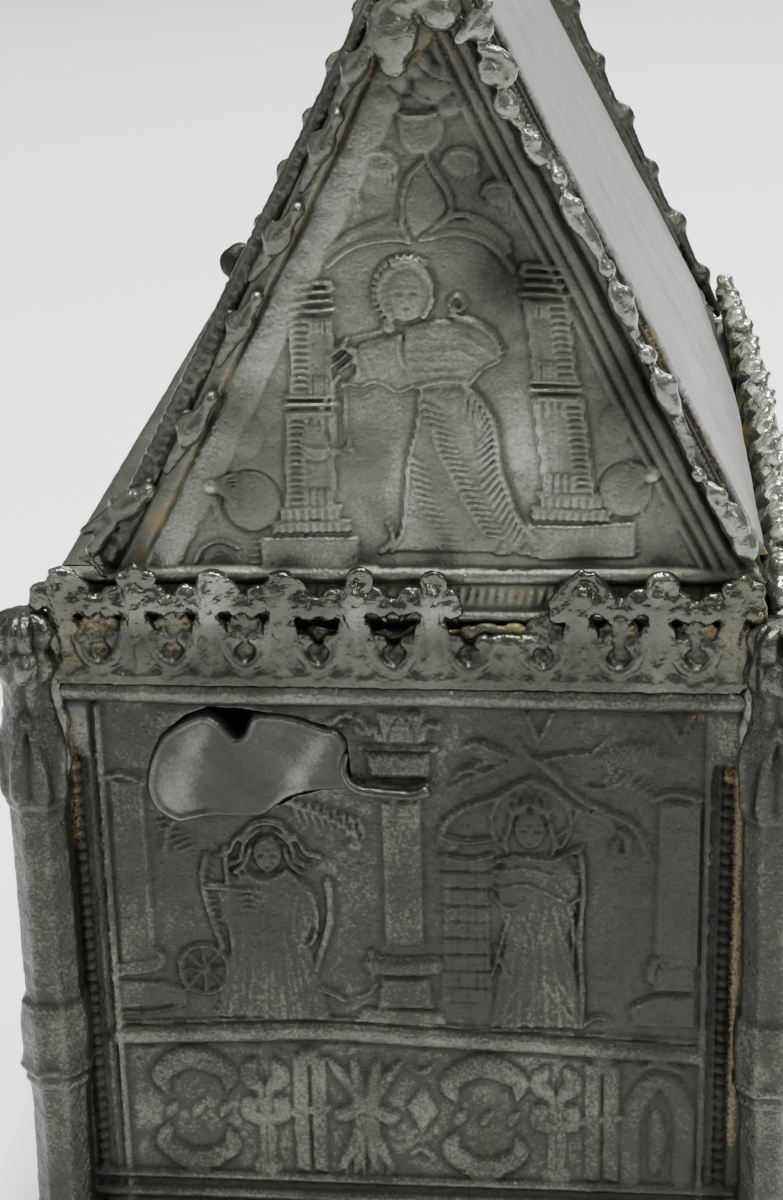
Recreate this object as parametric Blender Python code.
"""A pewter chrismatory: a relief-cast box with corner buttresses, a pierced cresting and a gabled lid.

Metres, +Z up. The origin is on the underside, in the middle. The front gable faces -Y.
Each side of the box is drawn as (u, v, out): u runs along the side, v is the height and out is the
distance outwards from the side's field, and is then turned about Z into its place.
"""

import math
from typing import NamedTuple

import bmesh
import bpy
from mathutils import Vector

# Gap kept between two pieces that touch
GAP = 0.0003

# The box, measured across the fields of its walls
BODY_WIDTH = 0.0810
BODY_LENGTH = 0.1300
WALL = 0.0024

# Base plate
BASE_THICKNESS = 0.0030
BASE_MARGIN = 0.0024
BASE_CHAMFER = 0.0008

# Heights of the bands of a wall, from the base plate up
FOOT_BAND = 0.0071
STROKE_TIER = 0.0211
MIDDLE_RAIL = 0.0032
FIGURE_TIER = 0.0406
TOP_RAIL = 0.0027
WALL_ABOVE_RAIL = 0.0062

# How far the mouldings stand out of the field
RAIL_OUT = 0.0011
TOP_RAIL_OUT = 0.0021
RAIL_BEVEL = 0.0006
FILLET_OUT = 0.0008
RELIEF_OUT = 0.0007
FIGURE_OUT = 0.0010
ROLL_OUT = 0.0012
GABLE_FILLET_OUT = 0.0006

# Relief drawn by its own sizes
STROKE_MARGIN = 0.0012
FRONT_STROKE_PITCH = 0.0064
SIDE_STROKE_PITCH = 0.0105
ARCADE_MARGIN = 0.0022
ARCADE_COLUMN = 0.0034
ARCH_BAND = 0.0014
GABLE_COLUMN = 0.0043
GABLE_ARCH_BAND = 0.0016
GABLE_FLOWER = 0.0046
GABLE_LEAF = 0.0066

# Upright fillet and bead strip at each end of a wall's panel
FILLET_WIDTH = 0.0010
BEAD_WIDTH = 0.0011
BEAD_FROM_RAIL_END = 0.0002
FILLET_FROM_BEADS = 0.0010

# Corner buttresses
BUTTRESS_OUT = 0.0012
SHAFT_HALF = 0.0033
FOOT_HALF = 0.0041
BAND_HALF = 0.0042
GABLET_HALF = 0.0039
NECK_HALF = 0.0029
BULB_HALF = 0.0034
FOOT_HEIGHT = 0.0060
LOWER_SHAFT_HEIGHT = 0.0165
BAND_HEIGHT = 0.0131
GABLET_HEIGHT = 0.0113
NECK_HEIGHT = 0.0037
BULB_HEIGHT = 0.0039
BUTTRESS_RISE = 0.0030

# Cresting
CREST_HEIGHT = 0.0140
CREST_THICKNESS = 0.0015
CREST_PITCH = 0.0082
CREST_END = 0.0010
CREST_VALLEY_SHARE = 0.74
CREST_SKIRT_SHARE = 0.38
CREST_STUMP_SHARE = 0.31
EYE_HALF = 0.0025
EYE_HEIGHT = 0.0023
EYE_LEVEL_SHARE = 0.48
ROUND_RADIUS = 0.0012
ROUND_LEVEL_SHARE = 0.27
LOST_FRONT_FLEUR = 6
RIGHT_LEAN_OUT = 0.0013
RIGHT_LEAN_DROP = 0.0024
RIGHT_LEAN_SKEW = 0.0011

# Lid, with its play inside the cresting
LID_PLAY_LEFT = 0.0022
LID_PLAY_RIGHT = 0.0008
LID_PLAY_END = 0.0011
LID_TAPER = 0.0023
LID_MOULDING = 0.0062
LID_MOULDING_OUT = 0.0008
LID_LEDGE = 0.0072
LID_SLUMP = 0.0023
GABLE_THICKNESS = 0.0018
GABLE_INSET = 0.0032
GABLE_ANGLE = math.radians(63.4)
COPING_IN = 0.0016
ROLL_INNER = 0.0039
GABLE_FILLET = 0.0057
GABLE_FILLET_WIDTH = 0.0007
FINIAL_HALF = 0.0034
FINIAL_HEIGHT = 0.0056

# Crockets along a rake, and the knob at the back gable's left foot
CROCKET_FIRST = 0.0050
CROCKET_PITCH = 0.0108
KNOB_RADIUS = 0.0026
KNOB_LEVEL = 0.0031

# Roof sheets and ridge. A sheet's offsets from the rake's line are given at its foot and at its top
ROOF_SHEET = 0.0015
ROOF_FRONT_GAP = 0.0006
ROOF_BACK_GAP = 0.0011
RIGHT_SHEET_FRONT = (0.0004, 0.0003)
RIGHT_SHEET_BACK = (-0.0005, -0.0018)
LEFT_SHEET_FRONT = (0.0010, 0.0004)
LEFT_SHEET_BACK = (-0.0010, -0.0010)
RIDGE_DROP = 0.0042
RIDGE_RISE = 0.0012

# Solder run over the front gable's apex
SOLDER_RADIUS = 0.0036
SOLDER_DROP = 0.0110
SOLDER_OUT = 0.0026

# Repair patch let into the torn front wall
PATCH_OUT = 0.0006
PATCH_THICKNESS = 0.0016
TONGUE_OUT = 0.0021
TONGUE_THICKNESS = 0.0006
PATCH_PLAY = 0.0009

# Levels that follow
WALL_FOOT = BASE_THICKNESS + GAP
STROKES_FROM = WALL_FOOT + FOOT_BAND
STROKES_TO = STROKES_FROM + STROKE_TIER
FIGURES_FROM = STROKES_TO + MIDDLE_RAIL
FIGURES_TO = FIGURES_FROM + FIGURE_TIER
RAIL_TOP = FIGURES_TO + TOP_RAIL
WALL_TOP = RAIL_TOP + WALL_ABOVE_RAIL
LID_FOOT = WALL_TOP + GAP
LID_FLOOR = LID_FOOT + LID_MOULDING
BUTTRESS_TOP = WALL_TOP + BUTTRESS_RISE
BAND_TOP = WALL_FOOT + FOOT_HEIGHT + LOWER_SHAFT_HEIGHT + BAND_HEIGHT
UPPER_SHAFT_HEIGHT = BUTTRESS_TOP - 2 * BULB_HEIGHT - NECK_HEIGHT - GABLET_HEIGHT - BAND_TOP

# Plan of the lid that follows
LID_LEFT = -(BODY_WIDTH / 2 + GAP - LID_PLAY_LEFT)
LID_RIGHT = BODY_WIDTH / 2 + GAP - LID_PLAY_RIGHT
LID_END = BODY_LENGTH / 2 + GAP - LID_PLAY_END
GABLE_PLANE = LID_END - LID_MOULDING_OUT
GABLE_HALF = (LID_RIGHT - LID_LEFT) / 2 - GABLE_INSET
FRONT_SHIFT = LID_RIGHT - GABLE_HALF
BACK_SHIFT = (LID_RIGHT - LID_TAPER + LID_LEFT) / 2
RAKE_RISE = GABLE_HALF * math.tan(GABLE_ANGLE)
APEX = LID_FLOOR + RAKE_RISE
RAKE_LENGTH = GABLE_HALF / math.cos(GABLE_ANGLE)
CROCKETS = int((RAKE_LENGTH - CROCKET_FIRST - 0.5 * FINIAL_HALF) / CROCKET_PITCH + 0.5)


class Side(NamedTuple):
    """One side of the box: its turn about Z, its distance from the middle and half its length."""

    name: str
    turn: float
    depth: float
    half: float


class Shape(NamedTuple):
    """A raised shape: its outline in (u, v), how far it stands out and the bevel of its top."""

    outline: list
    out: float
    chamfer: float = 0.0


FRONT = Side("front", 0.0, BODY_LENGTH / 2, BODY_WIDTH / 2)
RIGHT = Side("right", math.pi / 2, BODY_WIDTH / 2, BODY_LENGTH / 2)
BACK = Side("back", math.pi, BODY_LENGTH / 2, BODY_WIDTH / 2)
LEFT = Side("left", -math.pi / 2, BODY_WIDTH / 2, BODY_LENGTH / 2)


def clear_scene():
    for obj in list(bpy.data.objects):
        bpy.data.objects.remove(obj)


def metal(name, colour, roughness):
    """A cast pewter: grey, dull, with its own tone."""
    material = bpy.data.materials.new(name)
    material.use_nodes = True
    shader = material.node_tree.nodes["Principled BSDF"]
    shader.inputs["Base Color"].default_value = (*colour, 1.0)
    shader.inputs["Roughness"].default_value = roughness
    shader.inputs["Metallic"].default_value = 0.9
    material.diffuse_color = (*colour, 1.0)
    return material


def finished(name, bm, material, turn=0.0):
    """Makes an object of the mesh, with its faces pointing out."""
    bmesh.ops.recalc_face_normals(bm, faces=bm.faces)
    mesh = bpy.data.meshes.new(name)
    bm.to_mesh(mesh)
    bm.free()
    mesh.materials.append(material)
    obj = bpy.data.objects.new(name, mesh)
    obj.rotation_euler.z = turn
    bpy.context.scene.collection.objects.link(obj)
    return obj


def add_prism(bm, outline, depth, low, high, chamfer=0.0):
    """A closed prism over an outline in (u, v), from low to high outwards of the plane at depth."""
    corners = [bm.verts.new((u, -(depth + low), v)) for u, v in outline]
    face = bm.faces.new(corners)
    grown = bmesh.ops.extrude_face_region(bm, geom=[face])["geom"]
    tops = [item for item in grown if isinstance(item, bmesh.types.BMVert)]
    bmesh.ops.translate(bm, verts=tops, vec=(0.0, -(high - low), 0.0))
    if chamfer:
        top = next(item for item in grown if isinstance(item, bmesh.types.BMFace))
        top.normal_update()
        rise = chamfer * (1.0 if top.normal.y < 0 else -1.0)
        bmesh.ops.translate(bm, verts=tops, vec=(0.0, chamfer, 0.0))
        bmesh.ops.inset_region(bm, faces=[top], thickness=chamfer, depth=rise, use_even_offset=True)


def hidden(obj):
    obj.hide_render = True
    obj.display_type = "WIRE"
    return obj


def add_tools(obj, label, operation, prisms, turn=0.0):
    """Joins or cuts a set of prisms in one step. Each prism holds what add_prism takes."""
    collection = bpy.data.collections.new(f"{obj.name}_{label}")
    bpy.context.scene.collection.children.link(collection)
    for index, prism in enumerate(prisms):
        bm = bmesh.new()
        add_prism(bm, *prism)
        tool = finished(f"{collection.name}_{index}", bm, obj.data.materials[0], turn)
        bpy.context.scene.collection.objects.unlink(tool)
        collection.objects.link(hidden(tool))
    modifier = obj.modifiers.new(label, "BOOLEAN")
    modifier.operation = operation
    modifier.solver = "EXACT"
    modifier.operand_type = "COLLECTION"
    modifier.collection = collection


def add_shapes(obj, shapes, side, depth, sink):
    """Raises each shape on the piece. The shapes start below the field by sink."""
    prisms = [(shape.outline, depth, -sink, shape.out, shape.chamfer) for shape in shapes]
    add_tools(obj, "relief", "UNION", prisms, side.turn)


def box_outline(left, right, bottom, top):
    return [(left, bottom), (right, bottom), (right, top), (left, top)]


def round_outline(u, v, radius, sides):
    turns = [math.tau * (step + 0.5) / sides for step in range(sides)]
    return [(u + radius * math.cos(turn), v + radius * math.sin(turn)) for turn in turns]


def rail_half(side, reach):
    """Half the length of a moulding that stops short of a buttress that reaches that far."""
    return side.half + BUTTRESS_OUT - reach - GAP


def field_half(side):
    """Half the width of the panel's field, inside the upright fillets."""
    beads = rail_half(side, BAND_HALF) - BEAD_FROM_RAIL_END - BEAD_WIDTH
    return beads - FILLET_FROM_BEADS - FILLET_WIDTH


# Relief


def column(u, width, bottom, top):
    """A shaft on a spreading plinth and a ringed base, under a ringed capital."""
    height = top - bottom
    plinth = 0.14 * height
    ring = 0.07 * height
    capital = 0.16 * height
    half = width / 2
    spread = [(u - 1.5 * half, bottom), (u + 1.5 * half, bottom),
              (u + 1.15 * half, bottom + plinth), (u - 1.15 * half, bottom + plinth)]
    ring_foot = bottom + plinth - 0.2 * ring
    base = box_outline(u - 1.45 * half, u + 1.45 * half, ring_foot, bottom + plinth + ring)
    shaft = box_outline(u - half, u + half, bottom + 0.6 * plinth, top - 0.4 * capital)
    head = [(u - half, top - capital), (u + half, top - capital),
            (u + 1.6 * half, top), (u - 1.6 * half, top)]
    return [Shape(spread, 0.8 * RELIEF_OUT), Shape(base, 1.4 * RELIEF_OUT),
            Shape(shaft, RELIEF_OUT), Shape(head, 1.4 * RELIEF_OUT)]


def pilaster(u, width, bottom, top):
    """A plain column with a spreading foot and head, in one outline."""
    height = top - bottom
    half = width / 2
    right = [(1.5 * half, 0.0), (1.15 * half, 0.14 * height), (half, 0.20 * height),
             (half, 0.84 * height), (1.6 * half, height)]
    outline = [(u + x, bottom + z) for x, z in right]
    outline += [(u - x, bottom + z) for x, z in reversed(right)]
    return Shape(outline, RELIEF_OUT)


def ogee(half_span, rise, steps):
    """Points of one half of an ogee arch, from its springing to its point."""
    points = []
    for step in range(steps + 1):
        share = step / steps
        lift = share + 0.17 * math.sin(math.tau * share)
        points.append((half_span * (1.0 - share), rise * lift))
    return points


def ogee_arch(u, spring, half_span, rise, width, steps=5):
    """A band that follows an ogee arch."""
    outer = ogee(half_span, rise, steps)
    inner = ogee(half_span - width, rise - 1.8 * width, steps)
    outline = [(u + x, spring + y) for x, y in outer]
    outline += [(u - x, spring + y) for x, y in reversed(outer[:-1])]
    outline += [(u - x, spring + y) for x, y in inner]
    outline += [(u + x, spring + y) for x, y in reversed(inner[:-1])]
    return [Shape(outline, RELIEF_OUT)]


def figure(u, bottom, height, lean, halo):
    """A generic robed figure that stands and turns a little, with bent arms and falling folds."""
    robe_half = [(0.00, 0.24), (0.22, 0.19), (0.48, 0.14), (0.60, 0.21), (0.72, 0.19), (0.80, 0.13)]
    right = [(u + height * (half + lean * share), bottom + height * share) for share, half in robe_half]
    left = [(u - height * (half - lean * share), bottom + height * share) for share, half in robe_half]
    robe = right + list(reversed(left))
    top_u = u + height * lean * 0.9
    shapes = [Shape(robe, 0.8 * FIGURE_OUT, 0.0002)]
    if halo:
        shapes.append(Shape(round_outline(top_u, bottom + 0.89 * height, halo, 10), 0.5 * FIGURE_OUT))
    shapes.append(Shape(round_outline(top_u, bottom + 0.88 * height, 0.085 * height, 7), FIGURE_OUT))
    for share in (-0.62, -0.05, 0.55):
        low = u + 0.19 * height * share
        high = u + 0.11 * height * share + lean * height * 0.5
        hem = bottom + 0.03 * height
        waist = bottom + 0.50 * height
        fold = [(low - 0.016 * height, hem), (low + 0.020 * height, hem),
                (high + 0.006 * height, waist), (high - 0.006 * height, waist)]
        shapes.append(Shape(fold, FIGURE_OUT))
    return shapes


def leaf(u, v, size, turn):
    """A pointed leaf with a waist, its tip towards turn."""
    marks = [(0.0, 0.0), (0.25, 0.30), (0.55, 0.38), (1.0, 0.0), (0.55, -0.38), (0.25, -0.30)]
    outline = []
    for along, across in marks:
        outline.append((u + size * (along * math.cos(turn) - across * math.sin(turn)),
                        v + size * (along * math.sin(turn) + across * math.cos(turn))))
    return Shape(outline, RELIEF_OUT)


def flower(u, v, size, petals):
    """An open flower with pointed petals."""
    outline = []
    for step in range(2 * petals):
        turn = math.tau * step / (2 * petals) + 0.3
        reach = size * (1.0 if step % 2 == 0 else 0.42)
        outline.append((u + reach * math.cos(turn), v + reach * math.sin(turn)))
    return Shape(outline, RELIEF_OUT)


def stroke_band(half, bottom, top, pitch):
    """Shallow upright, slanting and lozenge strokes that spell nothing."""
    count = max(2, round(2 * half / pitch))
    step = 2 * half / count
    height = top - bottom
    shapes = []
    for index in range(count):
        u = -half + (index + 0.5) * step
        wide = 0.16 * step
        low = bottom + 0.12 * height
        high = top - 0.12 * height
        if index % 4 == 2:
            middle = (low + high) / 2
            outline = [(u, middle - 0.30 * height), (u + 0.30 * step, middle),
                       (u, middle + 0.30 * height), (u - 0.30 * step, middle)]
        else:
            slant = (0.0, 0.14, 0.0, -0.14)[index % 4] * step
            outline = [(u - wide - slant, low), (u + wide - slant, low),
                       (u + wide + slant, high), (u - wide + slant, high)]
        shapes.append(Shape(outline, RELIEF_OUT))
    return shapes


def frame_shapes(side):
    """Foot band, middle rail and top rail, with the upright fillets and bead strips between them."""
    low_half = rail_half(side, BAND_HALF)
    foot_half = rail_half(side, FOOT_HALF)
    top_half = rail_half(side, BULB_HALF)
    foot = box_outline(-foot_half, foot_half, WALL_FOOT, STROKES_FROM)
    middle = box_outline(-low_half, low_half, STROKES_TO, FIGURES_FROM)
    top = box_outline(-top_half, top_half, FIGURES_TO, RAIL_TOP)
    shapes = [Shape(foot, RAIL_OUT, RAIL_BEVEL), Shape(middle, RAIL_OUT, RAIL_BEVEL)]
    shapes.append(Shape(top, TOP_RAIL_OUT, RAIL_BEVEL))
    bead_outer = low_half - BEAD_FROM_RAIL_END
    fillet_inner = field_half(side)
    for hand in (-1, 1):
        beads = sorted((hand * bead_outer, hand * (bead_outer - BEAD_WIDTH)))
        fillet = sorted((hand * fillet_inner, hand * (fillet_inner + FILLET_WIDTH)))
        lift = 0.5 * MIDDLE_RAIL
        shapes.append(Shape(box_outline(*beads, STROKES_FROM - lift, FIGURES_TO + lift), 0.6 * FILLET_OUT))
        shapes.append(Shape(box_outline(*fillet, STROKES_FROM - lift, FIGURES_TO + lift), FILLET_OUT))
    return shapes


def front_shapes():
    """Two bays under leafy arches, with a robed figure in each and a tower beside the right one."""
    field = field_half(FRONT)
    floor = FIGURES_FROM - 0.2 * MIDDLE_RAIL
    tall = FIGURE_TIER
    shapes = column(-0.90 * field, 0.112 * field, floor, floor + 0.90 * tall)
    shapes += column(0.0, 0.130 * field, floor, floor + 0.90 * tall)
    shapes += column(0.90 * field, 0.130 * field, floor, floor + 0.76 * tall)
    shapes += ogee_arch(0.45 * field, floor + 0.56 * tall, 0.34 * field, 0.34 * tall, 0.05 * field)
    shapes += ogee_arch(-0.46 * field, floor + 0.48 * tall, 0.33 * field, 0.22 * tall, 0.05 * field)
    shapes += figure(-0.47 * field, floor, 0.60 * tall, 0.02, 0.0)
    shapes += figure(0.47 * field, floor, 0.76 * tall, -0.03, 0.13 * field)
    sword = box_outline(-0.665 * field, -0.635 * field, floor + 0.04 * tall, floor + 0.44 * tall)
    guard = box_outline(-0.70 * field, -0.60 * field, floor + 0.31 * tall, floor + 0.34 * tall)
    tower = box_outline(0.15 * field, 0.30 * field, floor, floor + 0.52 * tall)
    shapes += [Shape(sword, FIGURE_OUT), Shape(guard, 1.1 * FIGURE_OUT), Shape(tower, 0.6 * RELIEF_OUT)]
    wheel = round_outline(-0.70 * field, floor + 0.17 * tall, 0.085 * field, 8)
    shapes.append(Shape(wheel, 0.6 * RELIEF_OUT))
    for u, v, turn in ((0.45, 0.88, 1.1), (0.45, 0.88, 2.0), (0.12, 0.86, 0.5), (0.78, 0.86, 2.6)):
        shapes.append(leaf(u * field, floor + v * tall, 0.08 * field, turn))
    return shapes + stroke_band(field - STROKE_MARGIN, STROKES_FROM, STROKES_TO, FRONT_STROKE_PITCH)


def arcade_shapes(side, bays):
    """Bays under ogee arches between columns, with a spray of three leaves in each."""
    field = field_half(side)
    floor = FIGURES_FROM - 0.2 * MIDDLE_RAIL
    first = -field + ARCADE_MARGIN
    step = -2 * first / bays
    spring = floor + 0.62 * FIGURE_TIER
    shapes = []
    for index in range(bays + 1):
        shapes.append(pilaster(first + index * step, ARCADE_COLUMN, floor, spring))
    for index in range(bays):
        u = first + (index + 0.5) * step
        half_span = 0.5 * (step - 0.6 * ARCADE_COLUMN)
        shapes += ogee_arch(u, spring, half_span, 0.32 * FIGURE_TIER, ARCH_BAND, 3)
        for turn, share in ((0.95, 0.26), (math.pi / 2, 0.40), (math.pi - 0.95, 0.26)):
            shapes.append(leaf(u, floor + 0.16 * FIGURE_TIER, share * FIGURE_TIER, turn))
    return shapes + stroke_band(field - STROKE_MARGIN, STROKES_FROM, STROKES_TO, SIDE_STROKE_PITCH)


def tear_outline(growth):
    """The torn hole in the front wall, at its place beside the middle column, grown outwards."""
    field = field_half(FRONT)
    marks = [(-0.80, 0.66), (-0.83, 0.80), (-0.74, 0.93), (-0.64, 0.985), (-0.46, 0.965),
             (-0.24, 0.94), (-0.17, 0.86), (-0.18, 0.75), (-0.36, 0.71), (-0.52, 0.65)]
    middle = Vector((-0.48 * field, FIGURES_FROM + 0.80 * FIGURE_TIER))
    outline = []
    for u, v in marks:
        point = Vector((u * field, FIGURES_FROM + v * FIGURE_TIER))
        outline.append(tuple(point + growth * (point - middle).normalized()))
    return outline


# Pieces


def make_wall(side, shapes, material):
    """A flat wall with its relief. The front and back walls cover the ends of the side walls."""
    covers = side.name in ("front", "back")
    half = side.half if covers else side.half - WALL - GAP
    bm = bmesh.new()
    add_prism(bm, box_outline(-half, half, WALL_FOOT, WALL_TOP), side.depth, -WALL, 0.0)
    wall = finished(side.name + "_wall", bm, material, side.turn)
    add_shapes(wall, frame_shapes(side) + shapes, side, side.depth, 0.3 * WALL)
    return wall


def octagon(bm, x, y, half, z):
    """A ring of eight points with flats facing X and Y."""
    reach = half / math.cos(math.pi / 8)
    turns = [math.pi / 8 + math.tau * step / 8 for step in range(8)]
    return [bm.verts.new((x + reach * math.cos(turn), y + reach * math.sin(turn), z)) for turn in turns]


def buttress_profile(broken):
    """Heights and half widths of a buttress, from its foot to its double bulb, or to its neck if broken."""
    steps = [
        (FOOT_HEIGHT * 0.8, FOOT_HALF, FOOT_HALF),
        (FOOT_HEIGHT * 0.2, FOOT_HALF, SHAFT_HALF),
        (LOWER_SHAFT_HEIGHT, SHAFT_HALF, SHAFT_HALF),
        (BAND_HEIGHT * 0.16, BAND_HALF * 0.92, BAND_HALF * 0.92),
        (BAND_HEIGHT * 0.18, BAND_HALF * 0.92, BAND_HALF),
        (BAND_HEIGHT * 0.30, BAND_HALF, BAND_HALF * 0.95),
        (BAND_HEIGHT * 0.36, BAND_HALF * 0.95, SHAFT_HALF),
        (UPPER_SHAFT_HEIGHT, SHAFT_HALF, SHAFT_HALF),
        (GABLET_HEIGHT * 0.12, SHAFT_HALF, GABLET_HALF),
        (GABLET_HEIGHT * 0.53, GABLET_HALF, GABLET_HALF * 0.92),
        (GABLET_HEIGHT * 0.35, GABLET_HALF * 0.92, NECK_HALF),
        (NECK_HEIGHT, NECK_HALF, NECK_HALF),
    ]
    for _ in range(0 if broken else 2):
        steps += [(BULB_HEIGHT * 0.25, NECK_HALF, BULB_HALF), (BULB_HEIGHT * 0.45, BULB_HALF, BULB_HALF),
                  (BULB_HEIGHT * 0.30, BULB_HALF, NECK_HALF)]
    rings = []
    z = WALL_FOOT
    for height, low, high in steps:
        if not rings or abs(rings[-1][1] - low) > 1e-9:
            rings.append((z, low))
        z += height
        rings.append((z, high))
    return rings


def make_buttress(name, hand_x, hand_y, broken, material):
    """An octagonal buttress that wraps the box's corner, notched for the walls."""
    x = hand_x * (BODY_WIDTH / 2 + BUTTRESS_OUT)
    y = hand_y * (BODY_LENGTH / 2 + BUTTRESS_OUT)
    bm = bmesh.new()
    rings = [octagon(bm, x, y, half, z) for z, half in buttress_profile(broken)]
    for low, high in zip(rings, rings[1:]):
        for step in range(8):
            other = (step + 1) % 8
            bm.faces.new((low[step], low[other], high[other], high[step]))
    bm.faces.new(rings[0])
    bm.faces.new(rings[-1])
    buttress = finished(name, bm, material)
    notch = bmesh.new()
    reach = 4 * BAND_HALF
    size = (BODY_WIDTH / 2 + GAP, BODY_LENGTH / 2 + GAP)
    bmesh.ops.create_cube(notch, size=1.0)
    bmesh.ops.scale(notch, verts=notch.verts, vec=(reach, reach, 2 * BUTTRESS_TOP))
    middle = (hand_x * (size[0] - reach / 2), hand_y * (size[1] - reach / 2), BUTTRESS_TOP / 2)
    bmesh.ops.translate(notch, verts=notch.verts, vec=middle)
    tool = hidden(finished(name + "_notch", notch, material))
    modifier = buttress.modifiers.new("notch", "BOOLEAN")
    modifier.operation = "DIFFERENCE"
    modifier.solver = "EXACT"
    modifier.object = tool
    return buttress


def make_base(material):
    """The flat base plate, with a lobe under each buttress and a bevelled upper edge."""
    half_x = BODY_WIDTH / 2 + BASE_MARGIN
    half_y = BODY_LENGTH / 2 + BASE_MARGIN
    lobe = FOOT_HALF + 0.5 * BASE_MARGIN - BUTTRESS_OUT
    corner_x = BODY_WIDTH / 2 + BUTTRESS_OUT
    corner_y = BODY_LENGTH / 2 + BUTTRESS_OUT
    reach = lobe + BUTTRESS_OUT
    cut = reach * math.tan(math.pi / 8)
    inner_x = corner_x - reach
    inner_y = corner_y - reach
    quarter = [(half_x, inner_y), (corner_x + reach, corner_y - cut), (corner_x + reach, corner_y + cut),
               (corner_x + cut, corner_y + reach), (corner_x - cut, corner_y + reach), (inner_x, half_y)]
    outline = list(quarter)
    outline += [(-x, y) for x, y in reversed(quarter)]
    outline += [(-x, -y) for x, y in quarter]
    outline += [(x, -y) for x, y in reversed(quarter)]
    bm = bmesh.new()
    face = bm.faces.new([bm.verts.new((x, y, 0.0)) for x, y in outline])
    grown = bmesh.ops.extrude_face_region(bm, geom=[face])["geom"]
    tops = [item for item in grown if isinstance(item, bmesh.types.BMVert)]
    bmesh.ops.translate(bm, verts=tops, vec=(0.0, 0.0, BASE_THICKNESS - BASE_CHAMFER))
    top = next(item for item in grown if isinstance(item, bmesh.types.BMFace))
    top.normal_update()
    rise = BASE_CHAMFER * (1.0 if top.normal.z > 0 else -1.0)
    bmesh.ops.inset_region(bm, faces=[top], thickness=BASE_CHAMFER, depth=rise, use_even_offset=True)
    return finished("base_plate", bm, material)


def crest_half(joined, pitch, end):
    """One half of a fleur, from its knob down: joined to its neighbour, free of it or at an end.

    The marks are shares of the pitch and of the cresting's height.
    """
    marks = [(0.20, 0.94), (0.15, 0.84), (0.37, 0.81)]
    if joined == "joined":
        marks.append((0.50, CREST_VALLEY_SHARE))
    elif joined == "free":
        marks += [(0.43, 0.72), (0.13, 0.56), (0.18, 0.44), (0.50, CREST_SKIRT_SHARE)]
    half = [(share * pitch, height * CREST_HEIGHT) for share, height in marks]
    if joined == "end":
        half += [(0.44 * pitch, 0.76 * CREST_HEIGHT), (0.40 * pitch, 0.69 * CREST_HEIGHT),
                 (end, 0.67 * CREST_HEIGHT), (end, WALL_ABOVE_RAIL), (end, 0.0)]
    return half


def crest_outline(side, pitch, centres, state, end):
    """Outer outline of a cresting strip and its pierced holes, in (u, height above its foot).

    state gives each fleur as whole, lost (broken down to the skirt) or stump (broken lower still).
    """
    outline = []
    holes = []
    count = len(centres)
    for index, centre in enumerate(centres):
        halves = []
        for hand, other in ((-1, index - 1), (1, index + 1)):
            if other < 0 or other >= count:
                halves.append("end")
            elif state[other] == "whole":
                halves.append("joined")
            else:
                halves.append("free")
        if state[index] == "whole":
            left = crest_half(halves[0], pitch, end)
            right = crest_half(halves[1], pitch, end)
            outline += [(centre - x, z) for x, z in reversed(left)]
            outline.append((centre, CREST_HEIGHT))
            outline += [(centre + x, z) for x, z in right]
        else:
            skirt = CREST_SKIRT_SHARE * CREST_HEIGHT
            stump = (CREST_STUMP_SHARE + 0.06 * math.sin(2.4 * index)) * CREST_HEIGHT
            level = 1.15 * skirt if state[index] == "lost" else stump
            foot = 0.85 * level
            stub = [(centre - 0.15 * pitch, foot), (centre, level), (centre + 0.13 * pitch, foot)]
            if halves[0] == "end":
                stub = [(centre - end, 0.0), (centre - end, foot)] + stub
            if halves[1] == "end":
                stub += [(centre + end, foot), (centre + end, 0.0)]
            if halves[1] == "free":
                stub.append((centre + pitch / 2, skirt if state[index] == "lost" else 0.75 * stump))
            outline += stub
        low = state[index] == "stump" or (index + 1 < count and state[index + 1] == "stump")
        if index + 1 < count and not low:
            middle = centre + pitch / 2
            holes.append(round_outline(middle, ROUND_LEVEL_SHARE * CREST_HEIGHT, ROUND_RADIUS, 5))
            if state[index] == "whole" and state[index + 1] == "whole":
                marks = [(-1.0, 0.0), (-0.5, -0.5), (0.5, -0.5), (1.0, 0.0), (0.5, 0.5), (-0.5, 0.5)]
                holes.append([(middle + EYE_HALF * x, EYE_LEVEL_SHARE * CREST_HEIGHT + EYE_HEIGHT * z)
                              for x, z in marks])
    return tidy(outline), holes


def tidy(points):
    """Drops a point that repeats the one before it."""
    kept = []
    for point in points:
        if not kept or math.dist(point, kept[-1]) > 1e-5:
            kept.append(point)
    return kept


def lean(u, height, side):
    """How far the right cresting is bent outwards of its plane, above the wall's upper edge."""
    if side is not RIGHT:
        return 0.0
    share = u / side.half
    tip = RIGHT_LEAN_OUT - RIGHT_LEAN_DROP * share * share - RIGHT_LEAN_SKEW * share
    return tip * max(0.0, height - WALL_ABOVE_RAIL) / (CREST_HEIGHT - WALL_ABOVE_RAIL)


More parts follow.
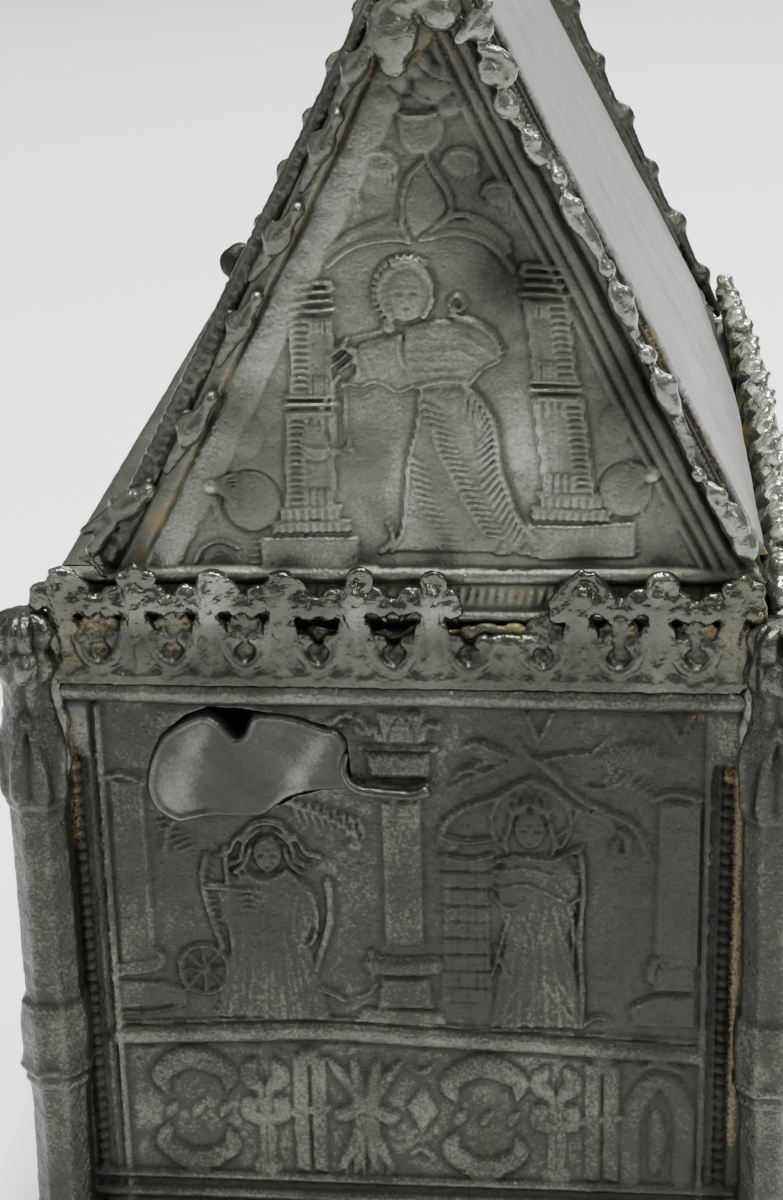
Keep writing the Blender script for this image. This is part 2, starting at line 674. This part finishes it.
def make_cresting(side, name, state_of, material):
    """A pierced strip of fleurs that stands on the top rail, in front of the wall's upper edge."""
    half = rail_half(side, BULB_HALF)
    spaces = max(2, round((2 * half - 2 * CREST_END) / CREST_PITCH))
    pitch = (2 * half - 2 * CREST_END) / spaces
    centres = [-half + CREST_END + index * pitch for index in range(spaces + 1)]
    state = [state_of(index, spaces + 1) for index in range(spaces + 1)]
    outline, holes = crest_outline(side, pitch, centres, state, CREST_END)
    bm = bmesh.new()
    for loop in [outline] + holes:
        ring = [bm.verts.new((u, 0.0, v)) for u, v in loop]
        for one, other in zip(ring, ring[1:] + ring[:1]):
            bm.edges.new((one, other))
    bmesh.ops.triangle_fill(bm, use_beauty=True, use_dissolve=False, edges=list(bm.edges))
    grown = bmesh.ops.extrude_face_region(bm, geom=list(bm.faces))["geom"]
    tops = [item for item in grown if isinstance(item, bmesh.types.BMVert)]
    bmesh.ops.translate(bm, verts=tops, vec=(0.0, -CREST_THICKNESS, 0.0))
    for vert in bm.verts:
        vert.co.y -= side.depth + GAP + lean(vert.co.x, vert.co.z, side)
        vert.co.z += RAIL_TOP + GAP
    return finished(name, bm, material, side.turn)


def rake_point(along, out):
    """A point on the right rake: along it from its foot, and outwards of its line, in (u, v)."""
    cos = math.cos(GABLE_ANGLE)
    sin = math.sin(GABLE_ANGLE)
    return (GABLE_HALF - along * cos + out * sin, LID_FLOOR + along * sin + out * cos)


def rake_contour():
    """The crocketed outer edge of the right rake, from its foot to below the finial."""
    bump = [(-0.44, -0.95), (-0.30, -0.10), (-0.04, -0.20), (0.10, -0.65), (0.30, -0.15)]
    points = [rake_point(0.0, -COPING_IN)]
    for index in range(CROCKETS):
        middle = CROCKET_FIRST + index * CROCKET_PITCH
        points += [rake_point(middle + along * CROCKET_PITCH, out * COPING_IN) for along, out in bump]
    points.append(rake_point(CROCKET_FIRST + (CROCKETS - 0.5) * CROCKET_PITCH, -COPING_IN))
    return points


def finial_contour():
    """Right half of the leafy knob on the apex, from its neck to its tip."""
    marks = [(0.55, -0.30), (1.0, 0.05), (0.75, 0.35), (0.90, 0.60), (0.45, 0.90)]
    return [(FINIAL_HALF * u, APEX + FINIAL_HEIGHT * (v - 0.35)) for u, v in marks]


def chevron(outer, inner):
    """A band along both rakes, between two distances inside their line."""
    sin = math.sin(GABLE_ANGLE)
    peak_out = LID_FLOOR + RAKE_RISE - outer / math.cos(GABLE_ANGLE)
    peak_in = LID_FLOOR + RAKE_RISE - inner / math.cos(GABLE_ANGLE)
    foot_out = GABLE_HALF - outer / sin
    foot_in = GABLE_HALF - inner / sin
    low = LID_FLOOR - 0.1 * LID_MOULDING
    outer_edge = [(foot_out, low), (0.0, peak_out), (-foot_out, low)]
    inner_edge = [(-foot_in, low), (0.0, peak_in), (foot_in, low)]
    return outer_edge + inner_edge


def gable_shapes(left, right, shift, peopled, high_left):
    """Base rolls, rake mouldings, two columns, a leafy arch and a robed figure.

    The upper base roll starts at high_left, because the back gable has lost that corner.
    """
    roll = 0.30 * LID_MOULDING
    low = box_outline(left, right, LID_FOOT, LID_FOOT + roll)
    high = box_outline(high_left, right, LID_FLOOR - roll, LID_FLOOR)
    shapes = [Shape(low, LID_MOULDING_OUT, 0.0004), Shape(high, LID_MOULDING_OUT, 0.0004)]
    shapes.append(Shape([(shift + u, v) for u, v in chevron(COPING_IN, ROLL_INNER)], ROLL_OUT))
    fillet = chevron(GABLE_FILLET, GABLE_FILLET + GABLE_FILLET_WIDTH)
    shapes.append(Shape([(shift + u, v) for u, v in fillet], GABLE_FILLET_OUT))
    span = 0.37 * GABLE_HALF
    tall = 0.42 * RAKE_RISE
    for u in (shift - span, shift + span):
        if peopled:
            shapes += column(u, GABLE_COLUMN, LID_FLOOR, LID_FLOOR + tall)
        else:
            shapes.append(pilaster(u, GABLE_COLUMN, LID_FLOOR, LID_FLOOR + tall))
    shapes += ogee_arch(shift, LID_FLOOR + tall, span, 0.23 * RAKE_RISE, GABLE_ARCH_BAND)
    if peopled:
        shapes += figure(shift - 0.04 * GABLE_HALF, LID_FLOOR, 0.47 * RAKE_RISE, -0.03, 0.0)
    for hand in (-1, 1):
        u = shift + hand * 0.62 * GABLE_HALF
        shapes.append(flower(u, LID_FLOOR + 0.13 * RAKE_RISE, GABLE_FLOWER, 4))
    for turn in (0.5, math.pi / 2, math.pi - 0.5):
        shapes.append(leaf(shift, LID_FLOOR + 0.64 * RAKE_RISE, GABLE_LEAF, turn))
    return shapes


def make_gable(side, left, right, shift, left_top, shapes, material):
    """A gable cast in one with its base moulding, its crockets and its finial."""
    rake = rake_contour()
    top = finial_contour()
    outline = [(left, LID_FOOT), (right, LID_FOOT), (right, LID_FLOOR)]
    outline += [(shift + u, v) for u, v in rake + top]
    outline.append((shift, APEX + 0.65 * FINIAL_HEIGHT))
    outline += [(shift - u, v) for u, v in reversed(rake + top)]
    outline.append((left, left_top))
    bm = bmesh.new()
    add_prism(bm, tidy(outline), GABLE_PLANE, -GABLE_THICKNESS, 0.0)
    gable = finished("gable_" + side.name, bm, material, side.turn)
    add_shapes(gable, shapes, side, GABLE_PLANE, 0.4 * GABLE_THICKNESS)
    return gable


def make_side_moulding(name, near, far, hand, slump, material):
    """The moulding under a roof slope: two rolls and a hollow outside, a broad roll above.

    At its far end everything above the lower roll leans inwards, by slump at the top.
    """
    roll = LID_MOULDING_OUT
    tall = LID_MOULDING
    profile = [(0.0, 0.0), (0.0, 0.30 * tall), (roll, 0.40 * tall), (roll, 0.58 * tall), (0.0, 0.68 * tall),
               (0.3 * roll, 0.86 * tall), (1.5 * roll, 0.98 * tall), (LID_LEDGE, tall), (LID_LEDGE, 0.0)]
    end = GABLE_PLANE - GABLE_THICKNESS - GAP
    bm = bmesh.new()
    rings = []
    for y, edge, lean_in in ((-end, near, 0.0), (end, far, slump)):
        ring = []
        for x, z in profile:
            inwards = min(x + lean_in * max(0.0, z / tall - 0.30) / 0.70, LID_LEDGE)
            ring.append(bm.verts.new((edge - hand * inwards, y, LID_FOOT + z)))
        rings.append(ring)
    for step in range(len(profile)):
        other = (step + 1) % len(profile)
        bm.faces.new((rings[0][step], rings[0][other], rings[1][other], rings[1][step]))
    bm.faces.new(rings[0])
    bm.faces.new(rings[1])
    return finished(name, bm, material)


def make_roof_sheet(name, hand, front_offsets, back_offsets, material):
    """A plain sheet that leans on the gables, lifted or sunk at each end by its offsets."""
    sin = math.sin(GABLE_ANGLE)
    cos = math.cos(GABLE_ANGLE)
    inside = GABLE_PLANE - GABLE_THICKNESS
    low = LID_FLOOR + GAP
    high = APEX - RIDGE_DROP
    bm = bmesh.new()
    rings = []
    for y, shift, offsets in ((-inside + ROOF_FRONT_GAP, FRONT_SHIFT, front_offsets),
                              (inside - ROOF_BACK_GAP, BACK_SHIFT, back_offsets)):
        ring = []
        foot, top = offsets
        for z, offset in ((low, foot), (high, top), (high, top - ROOF_SHEET), (low, foot - ROOF_SHEET)):
            across = (APEX - z) * cos / sin + offset / sin
            ring.append(bm.verts.new((shift + hand * max(across, GAP / 2), y, z)))
        rings.append(ring)
    for step in range(4):
        other = (step + 1) % 4
        bm.faces.new((rings[0][step], rings[0][other], rings[1][other], rings[1][step]))
    bm.faces.new(rings[0])
    bm.faces.new(rings[1])
    return finished(name, bm, material)


def make_ridge(material):
    """A plain roll that closes the roof between the gables."""
    base = APEX - RIDGE_DROP + GAP
    width = RIDGE_DROP * math.cos(GABLE_ANGLE) / math.sin(GABLE_ANGLE) + ROOF_SHEET
    rise = APEX + RIDGE_RISE - base
    half = [(1.0, 0.0), (1.0, 0.25), (0.55, 0.60), (0.45, 0.92)]
    profile = [(-width * x, rise * z) for x, z in half] + [(0.0, rise)]
    profile += [(width * x, rise * z) for x, z in reversed(half)]
    end = GABLE_PLANE - GABLE_THICKNESS - GAP
    bm = bmesh.new()
    rings = []
    for y, shift in ((-end, FRONT_SHIFT), (end, BACK_SHIFT)):
        rings.append([bm.verts.new((shift + x, y, base + z)) for x, z in profile])
    for step in range(len(profile)):
        other = (step + 1) % len(profile)
        bm.faces.new((rings[0][step], rings[0][other], rings[1][other], rings[1][step]))
    bm.faces.new(rings[0])
    bm.faces.new(rings[1])
    return finished("ridge", bm, material)


def make_patch(material):
    """The smooth repair let into the tear, with a tongue that laps over the middle capital."""
    field = field_half(FRONT)
    bm = bmesh.new()
    depth = FRONT.depth
    outline = tear_outline(-PATCH_PLAY)
    add_prism(bm, outline, depth, -PATCH_THICKNESS, PATCH_OUT, 0.0003)
    patch = finished("repair_patch", bm, material)
    marks = [(-0.30, 0.74), (-0.05, 0.70), (0.10, 0.72), (0.06, 0.77), (-0.12, 0.88), (-0.30, 0.90)]
    tongue = [(u * field, FIGURES_FROM + v * FIGURE_TIER) for u, v in marks]
    neck = box_outline(-0.30 * field, -0.22 * field, FIGURES_FROM + 0.76 * FIGURE_TIER,
                       FIGURES_FROM + 0.88 * FIGURE_TIER)
    lap = (tongue, depth, TONGUE_OUT - TONGUE_THICKNESS, TONGUE_OUT)
    stem = (neck, depth, 0.0, TONGUE_OUT - 0.2 * TONGUE_THICKNESS)
    add_tools(patch, "tongue", "UNION", [lap, stem])
    return patch


def front_state(index, count):
    """One fleur of the front cresting is lost."""
    return "lost" if index == LOST_FRONT_FLEUR else "whole"


def back_state(index, count):
    """The back cresting has lost its end fleurs."""
    return "lost" if index in (0, count - 1) else "whole"


def left_state(index, count):
    """The left cresting is broken down to stumps."""
    return "stump"


def whole_state(index, count):
    return "whole"


def build():
    clear_scene()
    cast = metal("pewter_cast", (0.27, 0.29, 0.27), 0.45)
    sheet = metal("pewter_sheet", (0.36, 0.37, 0.36), 0.42)
    repair = metal("pewter_solder", (0.38, 0.38, 0.38), 0.36)
    make_base(cast)
    front = make_wall(FRONT, front_shapes(), cast)
    add_tools(front, "tear", "DIFFERENCE", [(tear_outline(0.0), FRONT.depth, -2 * WALL, 2 * WALL)])
    make_wall(RIGHT, arcade_shapes(RIGHT, 4), cast)
    make_wall(BACK, arcade_shapes(BACK, 2), cast)
    make_wall(LEFT, arcade_shapes(LEFT, 4), cast)
    make_patch(repair)
    for place, hand_y in (("front", -1), ("back", 1)):
        for hand, hand_x in (("left", -1), ("right", 1)):
            make_buttress(f"buttress_{place}_{hand}", hand_x, hand_y, place == "back", cast)
    make_cresting(FRONT, "cresting_front", front_state, cast)
    make_cresting(RIGHT, "cresting_right", whole_state, cast)
    make_cresting(BACK, "cresting_back", back_state, cast)
    make_cresting(LEFT, "cresting_left", left_state, cast)
    far_right = LID_RIGHT - LID_TAPER
    run = round_outline(FRONT_SHIFT - 0.2 * SOLDER_RADIUS, APEX - SOLDER_DROP, SOLDER_RADIUS, 8)
    blob = Shape(run, SOLDER_OUT, 0.35 * SOLDER_OUT)
    front_relief = gable_shapes(LID_LEFT, LID_RIGHT, FRONT_SHIFT, True, LID_LEFT) + [blob]
    make_gable(FRONT, LID_LEFT, LID_RIGHT, FRONT_SHIFT, LID_FLOOR, front_relief, cast)
    rake_foot = -BACK_SHIFT - GABLE_HALF + 2 * COPING_IN
    knob = round_outline(-LID_LEFT - KNOB_RADIUS, LID_FLOOR + KNOB_LEVEL, KNOB_RADIUS, 7)
    back_relief = gable_shapes(-far_right, -LID_LEFT, -BACK_SHIFT, False, rake_foot)
    back_relief.append(Shape(knob, 0.5 * LID_MOULDING_OUT))
    broken_corner = LID_FOOT + 0.30 * LID_MOULDING
    make_gable(BACK, -far_right, -LID_LEFT, -BACK_SHIFT, broken_corner, back_relief, cast)
    make_side_moulding("lid_moulding_left", LID_LEFT, LID_LEFT, -1, 0.0, cast)
    make_side_moulding("lid_moulding_right", LID_RIGHT, far_right, 1, LID_SLUMP, cast)
    make_roof_sheet("roof_left", -1, LEFT_SHEET_FRONT, LEFT_SHEET_BACK, sheet)
    make_roof_sheet("roof_right", 1, RIGHT_SHEET_FRONT, RIGHT_SHEET_BACK, sheet)
    make_ridge(sheet)


build()
